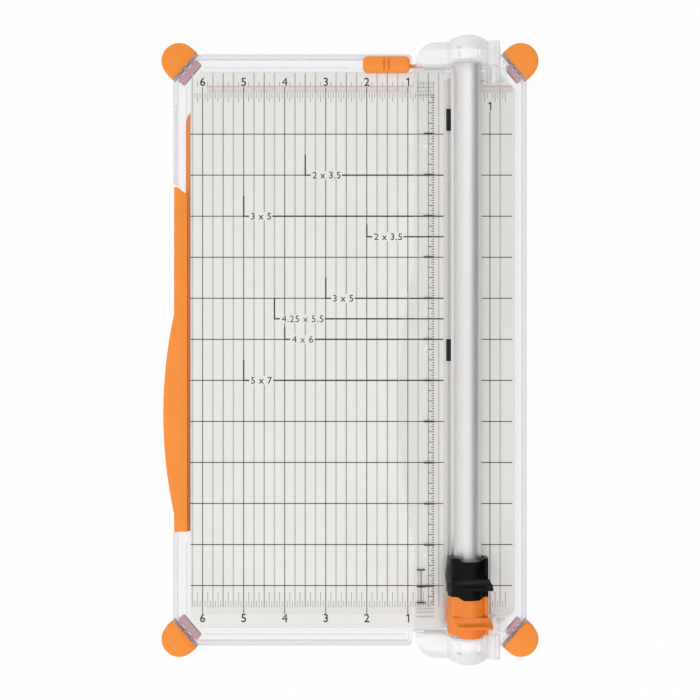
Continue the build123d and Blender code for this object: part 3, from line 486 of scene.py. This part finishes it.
node_materials = {
    "upper_rail_head": see_through("head_plastic", (0.985, 0.98, 0.985), milk, face_share=0.40,
                                   edge_share=0.70),
    "ruler_strip": see_through("ruler_plastic", (0.952, 0.952, 0.948), milk, face_share=0.02,
                               edge_share=0.40),
    "lower_fence": see_through("pale_fence_plastic", (0.965, 0.962, 0.96), milk, face_share=0.02,
                               edge_share=0.30),
    "cutter_carriage": moulded("deep_orange", (0.82, 0.215, 0.020), roughness=0.28, grain=0.0005,
                               depth=0.000006, tone=0.03, specular=0.4),
}
for twin, like in (("lower_rail_head", "upper_rail_head"), ("upper_hinge_bracket", "upper_rail_head"),
                   ("lower_hinge_bracket", "upper_rail_head"), ("lower_fence_stub", "lower_fence")):
    node_materials[twin] = node_materials[like]
bead_plastic = see_through("bead_plastic", (0.93, 0.927, 0.935), milk, face_share=0.02, edge_share=0.30)
inks = {
    "dark": ink("dark_ink", (0.030, 0.030, 0.032), tone=0.12),
    "mid": ink("mid_ink", (0.36, 0.36, 0.352)),
    "pale": ink("pale_ink", (0.52, 0.515, 0.505)),
    # Rose is painted shade for the lines pressed into the fence, not print
    "rose": ink("groove_shade_rose", (0.62, 0.48, 0.48)),
}


def dress_nodes():
    """Give every solid its material and rounded edges; clear pieces keep a hair of air around them."""
    for subpart in frame["record"]["subparts"]:
        name = subpart["node"]
        slot = subpart["material_slot"]
        piece = nodes[name]
        piece.data.materials.clear()
        piece.data.materials.append(node_materials.get(name, materials[slot]))
        soften(piece, handled_round.get(name, edge_round), slot in ("clear_plastic", "fence_plastic"))


def soften(piece, width, clear):
    """Round the sharp edges of a solid over this width, with smooth shading."""
    for polygon in piece.data.polygons:
        polygon.use_smooth = True
    weld = piece.modifiers.new("weld", "WELD")
    weld.merge_threshold = weld_reach
    if clear:
        shrink = piece.modifiers.new("air", "DISPLACE")
        shrink.mid_level = 0
        shrink.strength = -air_gap
    round_edges = piece.modifiers.new("round_edges", "BEVEL")
    round_edges.width = width
    round_edges.segments = edge_segments
    round_edges.limit_method = "ANGLE"
    round_edges.angle_limit = edge_angle
    round_edges.harden_normals = True


def add_bar(shape, left, right, low, high, base, rise):
    """A thin printed bar, sunk a little into its base."""
    centre = Vector(((left + right) / 2, (low + high) / 2, base + (rise - ink_sink) / 2))
    size = Matrix.Diagonal((right - left, high - low, rise + ink_sink, 1))
    bmesh.ops.create_cube(shape, size=1, matrix=Matrix.Translation(centre) @ size)


def add_line(shape, axis, place, start, end, width, base, rise):
    """A printed line of this width along an axis, at its place on the other one."""
    half = width / 2
    if axis == "x":
        add_bar(shape, start, end, place - half, place + half, base, rise)
    else:
        add_bar(shape, place - half, place + half, start, end, base, rise)


def text_mesh(words, height, bold):
    """Upright lettering of this height, its middle at the origin, as a thin closed mesh one unit thick.

    Bold would fill the small opening of a figure 4, so words with one stay plain.
    """
    curve = bpy.data.curves.new("lettering", "FONT")
    curve.body = words
    curve.resolution_u = text_resolution
    curve.space_character = label_spacing
    curve.offset = 0 if "4" in words else bold
    curve.extrude = text_half_thickness
    holder = bpy.data.objects.new("lettering", curve)
    bpy.context.scene.collection.objects.link(holder)
    graph = bpy.context.evaluated_depsgraph_get()
    mesh = bpy.data.meshes.new_from_object(holder.evaluated_get(graph))
    bpy.data.objects.remove(holder)
    bpy.data.curves.remove(curve)
    lows = Vector([min(point.co[axis] for point in mesh.vertices) for axis in range(3)])
    highs = Vector([max(point.co[axis] for point in mesh.vertices) for axis in range(3)])
    scale = height / (highs.y - lows.y)
    mesh.transform(Matrix.Diagonal((scale, scale, 1, 1)) @ Matrix.Translation(-(lows + highs) / 2))
    return mesh, scale * (highs.x - lows.x)


def add_text(shape, words, height, x, y, base, rise, bold, start=False, turn=0.0):
    """Print lettering at x, y; returns its width. With start, x is its left end, and else its middle."""
    mesh, width = text_mesh(words, height, bold)
    middle = x + width / 2 if start else x
    size = Matrix.Diagonal((1, 1, rise + ink_sink, 1))
    place = Matrix.Translation((middle, y, base + (rise - ink_sink) / 2))
    mesh.transform(place @ Matrix.Rotation(turn, 4, "Z") @ size)
    shape.from_mesh(mesh)
    bpy.data.meshes.remove(mesh)
    return width


def keep_piece(shape, name, body, material):
    """Turn the collected shape into a piece that rides on a body."""
    mesh = bpy.data.meshes.new(name)
    shape.to_mesh(mesh)
    shape.free()
    mesh.materials.append(material)
    piece = bpy.data.objects.new(name, mesh)
    bpy.context.scene.collection.objects.link(piece)
    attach(piece, body)


def clear_spans(start, end, place, across, along, gaps):
    """The stretches of a line from start to end, at its place, that keep out of the gaps around labels.

    Each gap gives its low and high ends by axis; across is the axis of the place, and along is the line's.
    """
    for gap in sorted(gaps, key=lambda gap: gap[along][0]):
        if gap[across][0] < place < gap[across][1] and start < gap[along][0] < end:
            yield start, gap[along][0]
            start = gap[along][1]
    yield start, end


def print_grid(gaps):
    """Lines every quarter inch across the bed, darker at half and whole inches, and every inch along it."""
    widths = {"dark": inch_line, "mid": half_line, "pale": quarter_line}
    shapes = {tone: bmesh.new() for tone in widths}
    left_count = int((cut_x - bed_low.x) / quarter_inch)
    for quarters in (*right_quarters, *range(1, left_count + 1)):
        x = cut_x - quarters * quarter_inch
        rise = ink_rise + (quarters % 4) * ink_step
        whole = quarters % 4 == 0
        tone = "dark" if whole else "mid" if quarters % 2 == 0 else "pale"
        near = -zero_y - (near_inch if whole else 0)
        far = zero_y + (far_inch if whole else far_quarter)
        if quarters == right_inch:
            far = zero_y - right_line_drop
        for start, end in clear_spans(near, far, x, "x", "y", gaps):
            add_line(shapes[tone], "y", x, start, end, widths[tone], bed_top, rise)
    rows = int(2 * zero_y / inch)
    row_rise = ink_rise + row_layer * ink_step
    spans = ((bed_low.x, strip_low.x - strip_clear), (strip_high.x + right_clear, stub_high.x - stub_clear))
    for row in range(1, rows + 1):
        y = zero_y - row * inch
        for left, right in spans:
            for start, end in clear_spans(left, right, y, "y", "x", gaps):
                add_line(shapes["dark"], "x", y, start, end, row_line, bed_top, row_rise)
    for tone, shape in shapes.items():
        keep_piece(shape, f"bed_grid_{tone}", "base", inks[tone])


def print_ticks():
    """Short scale marks along the fences, to sixteenths of an inch."""
    shape = bmesh.new()
    rise = ink_rise + tick_layer * ink_step
    left_count = int((cut_x - bed_low.x) / sixteenth_inch)
    for sixteenths in (*right_sixteenths, *range(first_sixteenth, left_count + 1)):
        if sixteenths % 4 == 0:
            continue
        x = cut_x - sixteenths * sixteenth_inch
        eighth = sixteenths % 2 == 0
        for end, lengths in tick_lengths.items():
            ends = sorted((end * zero_y, end * (zero_y - lengths[eighth])))
            add_line(shape, "y", x, *ends, tick_line, bed_top, rise)
        if eighth and sixteenths > 0:
            add_line(shape, "y", x, zero_y + far_inch, zero_y + far_eighth, tick_line, bed_top, rise)
    keep_piece(shape, "bed_ticks", "base", inks["mid"])


def add_figure_one(shape, height, x, y, base, rise):
    """The figure 1 with its flag, which the lettering lacks."""
    lower = []
    for across, up in figure_one_shares:
        lower.append(shape.verts.new((x + height * across, y + height * up, base - ink_sink)))
    upper = [shape.verts.new((point.co.x, point.co.y, base + rise)) for point in lower]
    shape.faces.new(upper[::-1])
    shape.faces.new(lower)
    for place in range(len(lower)):
        shape.faces.new((lower[place - 1], upper[place - 1], upper[place], lower[place]))


def print_numerals():
    """Inch numbers beyond both fences, and one to the right of the rail."""
    shape = bmesh.new()
    rise = ink_rise + numeral_layer * ink_step
    for end in (1, -1):
        y = end * (zero_y + numeral_offset)
        add_figure_one(shape, numeral_height, cut_x - inch, y, bed_top, rise)
        for number in range(2, last_numeral + 1):
            x = cut_x - number * inch
            add_text(shape, str(number), numeral_height, x, y, bed_top, rise, numeral_bold)
    add_figure_one(shape, numeral_height, cut_x + inch, zero_y - right_numeral_drop, bed_top, rise)
    bmesh.ops.recalc_face_normals(shape, faces=shape.faces)
    keep_piece(shape, "bed_numerals", "base", inks["dark"])


def print_size_marks():
    """Corner marks for common paper sizes, each with its size in a gap of its line; returns the gaps."""
    shape = bmesh.new()
    gaps = []
    rise = ink_rise + mark_layer * ink_step
    half = mark_line / 2
    for words, left, down, upright in size_marks:
        x = cut_x - left * inch
        y = zero_y - down * inch
        start = x + label_start
        add_line(shape, "y", x, y - half, y + upright * inch, mark_line, bed_top, rise)
        add_line(shape, "x", y, x, x + label_dash, mark_line, bed_top, rise + ink_step)
        label_rise = rise + 2 * ink_step
        width = add_text(shape, words, label_height, start, y, bed_top, label_rise, label_bold, start=True)
        line_start = start + width + label_gap
        gaps.append({
            "x": (x + label_dash, line_start),
            "y": (y - label_height / 2 - label_margin, y + label_height / 2 + label_margin),
        })
        add_line(shape, "x", y, line_start, strip_low.x - strip_clear, mark_line, bed_top, rise + ink_step)
    keep_piece(shape, "bed_size_marks", "base", inks["dark"])
    return gaps


def print_ruler():
    """Inch scale along the clear ruler strip, guide lines at its ends and the barred load mark."""
    shape = bmesh.new()
    count = int(2 * zero_y / sixteenth_inch)
    for sixteenths in range(1, count):
        y = zero_y - sixteenths * sixteenth_inch
        far = ruler_sixteenth
        width = tick_line
        if sixteenths % 16 == 0:
            far = ruler_inch_far
            width = 2 * inch_line
        elif sixteenths % 4 == 0:
            far = ruler_far
        elif sixteenths % 2 == 0:
            far = ruler_eighth
        add_line(shape, "x", y, cut_x - far, cut_x - ruler_near, width, ruler_top, ink_rise)
    guides = bmesh.new()
    for offset in guide_offsets:
        for end in (1, -1):
            y = end * (zero_y + offset)
            add_line(guides, "x", y, cut_x - guide_far, cut_x - ruler_near, tick_line, ruler_top, ink_rise)
    keep_piece(guides, "ruler_guides", "rail", inks["mid"])
    half = load_mark_width / 2
    for y in load_mark_bars:
        add_line(shape, "x", y, load_mark_x - half, load_mark_x + half, mark_line, ruler_top, ink_rise)
    add_line(shape, "y", load_mark_x, load_mark_bars[-1], load_mark_bars[0], inch_line, ruler_top,
             ink_rise + ink_step)
    keep_piece(shape, "ruler_scale", "rail", inks["dark"])


def print_arm_scale():
    """Inches that the swung-out arm adds to the bed, read from the user's side when it is out."""
    shape = bmesh.new()
    low_edge = pivot_x + arm_bar_half - edge_round
    for half_inches in range(2 * arm_first_inch, 2 * arm_last_inch + 1):
        reach = half_inches * inch / 2 - (cut_x - pivot_x)
        y = pivot_y - reach
        whole = half_inches % 2 == 0
        tick = arm_tick if whole else arm_half_tick
        add_line(shape, "x", y, low_edge - tick, low_edge, inch_line, arm_bar_top, ink_rise)
        if whole:
            x = low_edge - arm_numeral_offset
            number = str(half_inches // 2)
            add_text(shape, number, label_height, x, y, arm_bar_top, ink_rise, label_bold, turn=pi / 2)
    keep_piece(shape, "arm_scale", "arm", inks["dark"])


def stitch_fence():
    """Painted shade, in rose, of the fine lines pressed along the far fence, the inner one broken."""
    shape = bmesh.new()
    line_y = zero_y + fence_line_offset
    stitch_y = zero_y + stitch_offset
    top = fence_high.z
    for low, high in ((fence_low, fence_high), (stub_low, stub_high)):
        add_line(shape, "x", line_y, low.x, high.x, stitch_width, top, ink_rise)
        for place in range(int((high.x - low.x) / stitch_pitch)):
            left = low.x + place * stitch_pitch
            add_line(shape, "x", stitch_y, left, left + stitch_length, stitch_width, top, ink_rise)
    keep_piece(shape, "fence_groove_shade", "base", inks["rose"])


def bead_rim():
    """Fine bead moulded around the clear rim, broken at the arm, the lock and the lower head."""
    shape = bmesh.new()
    left = tray_low.x + bead_corner
    far_end = lock_low.x - lock_travel - lock_clear
    cross_runs = ((tray_high.y - bead_inset, far_end), (tray_low.y + bead_near_inset, bead_near_end))
    for y, right in cross_runs:
        add_line(shape, "x", y, left, right, bead_width, bed_top, bead_rise)
    side_runs = ((tray_low.y + bead_corner, bead_arm_low), (bead_arm_high, tray_high.y - bead_corner))
    for low, high in side_runs:
        add_line(shape, "y", tray_low.x + bead_inset, low, high, bead_width, bed_top, bead_rise)
    keep_piece(shape, "rim_bead", "base", bead_plastic)


def add_nubs():
    """Small nubs on the ruler strip, milky white, partly as a painted highlight for the glints on them."""
    shape = bmesh.new()
    size = Matrix.Diagonal((nub_radius, nub_radius, nub_height, 1))
    for y in nub_places:
        place = Matrix.Translation((nub_x, y, ruler_top)) @ size
        bmesh.ops.create_uvsphere(shape, u_segments=nub_segments, v_segments=nub_rings, radius=1,
                                  matrix=place)
    for face in shape.faces:
        face.smooth = True
    # The heads' milky plastic: on the nubs its white is partly painted highlight
    keep_piece(shape, "ruler_nubs", "rail", node_materials["upper_rail_head"])


def add_snap_tabs():
    """Tabs sprung from the end walls of the tube sockets, which show in the snap windows of both heads."""
    shape = bmesh.new()
    axis_x = tube_high.x - tube_radius
    base = tube_high.z - tube_radius + tab_base
    for side in (1, -1):
        middle = axis_x + side * tab_offset
        for end in (1, -1):
            ends = sorted((end * (tube_high.y + tab_root), end * (tube_high.y + tab_length)))
            add_bar(shape, middle - tab_width / 2, middle + tab_width / 2, *ends, base, tab_thickness)
    keep_piece(shape, "snap_tabs", "rail", materials["guide_plastic"])


def quarter_round(distance, radius):
    """Share of full height at a distance from an edge that is rounded with this radius."""
    left = max(0.0, 1 - distance / radius)
    return (1 - left * left) ** 0.5


def add_crown(shape, left, right):
    """A stretch of the lock slider's crown, arched across and rounded off at the slider's own ends."""
    near, far = lock_low.y, lock_high.y
    rows = []
    for step in range(crown_steps + 1):
        x = left + (right - left) * step / crown_steps
        from_end = min(x - lock_low.x, lock_high.x - x)
        inset = crown_corner * (1 - quarter_round(from_end, crown_corner))
        rows.append([])
        for place in range(crown_steps + 1):
            v = place / crown_steps
            arch = (1 - (2 * v - 1) ** 2) ** 0.5
            rise = crown_rise * arch * quarter_round(from_end, crown_end)
            y = near + inset + v * (far - near - 2 * inset)
            rows[-1].append(shape.verts.new((x, y, lock_high.z - crown_drop + rise)))
    for row, after in zip(rows, rows[1:]):
        for place in range(crown_steps):
            shape.faces.new((row[place], after[place], after[place + 1], row[place + 1]))
    near_rim = [row[0] for row in rows]
    far_rim = [row[-1] for row in rows]
    rim = near_rim + rows[-1][1:-1] + far_rim[::-1] + rows[0][-2:0:-1]
    for face in shape.faces:
        face.smooth = True
    for first, second in zip(rim, rim[1:] + rim[:1]):
        shape.edges.get((first, second)).smooth = False
    shape.faces.new(rim[::-1])


def crown_lock():
    """Crown of the lock slider: two pads and the rib between them."""
    shape = bmesh.new()
    middle = (lock_low.x + lock_high.x) / 2
    add_crown(shape, lock_low.x, middle - groove_half)
    add_crown(shape, middle - rib_half, middle + rib_half)
    add_crown(shape, middle + groove_half, lock_high.x)
    keep_piece(shape, "lock_crown", "lock", materials["orange_plastic"])


def pale_floor():
    """Plain floor that the camera, reflections and clear pieces see as almost white, with a soft shadow."""
    bpy.ops.mesh.primitive_plane_add(size=floor_size, location=(0, 0, cad_box[0][2]))
    floor = bpy.context.object
    floor.name = "floor"
    made, shader = make_material("floor")
    shader.inputs["Base Color"].default_value = floor_colour
    shader.inputs["Roughness"].default_value = floor_roughness
    glow = add_node(made, "ShaderNodeEmission", {"Color": white, "Strength": 1.0})
    path = add_node(made, "ShaderNodeLightPath")
    seen = math(made, "MAXIMUM", path.outputs["Is Camera Ray"], path.outputs["Is Glossy Ray"])
    seen = math(made, "MAXIMUM", seen, path.outputs["Is Transmission Ray"])
    both = add_node(made, "ShaderNodeMixShader")
    join(made, math(made, "MULTIPLY", seen, floor_shown_share), both.inputs["Fac"])
    join(made, shader.outputs["BSDF"], both.inputs[1])
    join(made, glow.outputs["Emission"], both.inputs[2])
    join(made, both.outputs["Shader"], made.node_tree.nodes["Material Output"].inputs["Surface"])
    floor.data.materials.append(made)


def studio_world():
    """Soft light from above and the left; reflections see a bright room, brightest behind, dark right."""
    world = bpy.data.worlds.new("studio")
    world.use_nodes = True
    bpy.context.scene.world = world
    place = add_node(world, "ShaderNodeTexCoord")
    parts = add_node(world, "ShaderNodeSeparateXYZ")
    path = add_node(world, "ShaderNodeLightPath")
    join(world, place.outputs["Generated"], parts.inputs["Vector"])
    across, along, up = (parts.outputs[axis] for axis in "XYZ")
    from_above = spread(world, up, *light_above)
    from_left = spread(world, across, *light_left, -1.0, 0.0)
    lighting = math(world, "ADD", from_above, from_left)
    left_side = spread(world, across, *room_left, -1.0, 0.0)
    right_side = spread(world, across, *room_right, *room_right_from)
    front_side = spread(world, along, *room_front, *room_front_from)
    rear_start = spread(world, along, *room_rear, *room_rear_from)
    rear_end = spread(world, along, 1.0, 0.0, *room_rear_end)
    rear_width = spread(world, math(world, "ABSOLUTE", across, 0.0), 1.0, 0.0, *room_rear_half)
    rear_side = math(world, "MULTIPLY", math(world, "MULTIPLY", rear_start, rear_end), rear_width)
    ends = math(world, "ADD", front_side, rear_side)
    room = math(world, "ADD", math(world, "MINIMUM", left_side, right_side), ends)
    level = lighting
    for ray, seen in (("Is Glossy Ray", room), ("Is Transmission Ray", 1.0), ("Is Camera Ray", 1.0)):
        mix = add_node(world, "ShaderNodeMix")
        join(world, path.outputs[ray], mix.inputs["Factor"])
        join(world, level, mix.inputs["A"])
        if isinstance(seen, float):
            mix.inputs["B"].default_value = seen
        else:
            join(world, seen, mix.inputs["B"])
        level = mix.outputs["Result"]
    background = world.node_tree.nodes["Background"]
    background.inputs["Color"].default_value = white
    join(world, level, background.inputs["Strength"])


def overhead_lamp():
    """Large soft lamp above, on the user's side, kept out of reflections."""
    lamp = bpy.data.lights.new("overhead", "AREA")
    lamp.shape = "DISK"
    lamp.size = lamp_size
    lamp.energy = lamp_power
    overhead = bpy.data.objects.new("overhead", lamp)
    overhead.location = lamp_place
    overhead.rotation_euler = (-overhead.location).to_track_quat("-Z", "Y").to_euler()
    overhead.visible_glossy = False
    bpy.context.scene.collection.objects.link(overhead)


def photo_camera():
    """Camera straight above the bed, at the photograph's distance and width of view."""
    lens = bpy.data.cameras.new("camera")
    lens.sensor_width = sensor_width
    lens.lens = sensor_width * camera_height / view_width
    camera = bpy.data.objects.new("camera", lens)
    camera.location = (0, 0, bed_top + camera_height)
    bpy.context.scene.collection.objects.link(camera)
    bpy.context.scene.camera = camera
    bpy.context.scene.view_settings.view_transform = "Standard"


dress_nodes()
print_grid(print_size_marks())
print_ticks()
print_numerals()
print_ruler()
print_arm_scale()
stitch_fence()
bead_rim()
add_nubs()
add_snap_tabs()
crown_lock()
pale_floor()
studio_world()
overhead_lamp()
photo_camera()
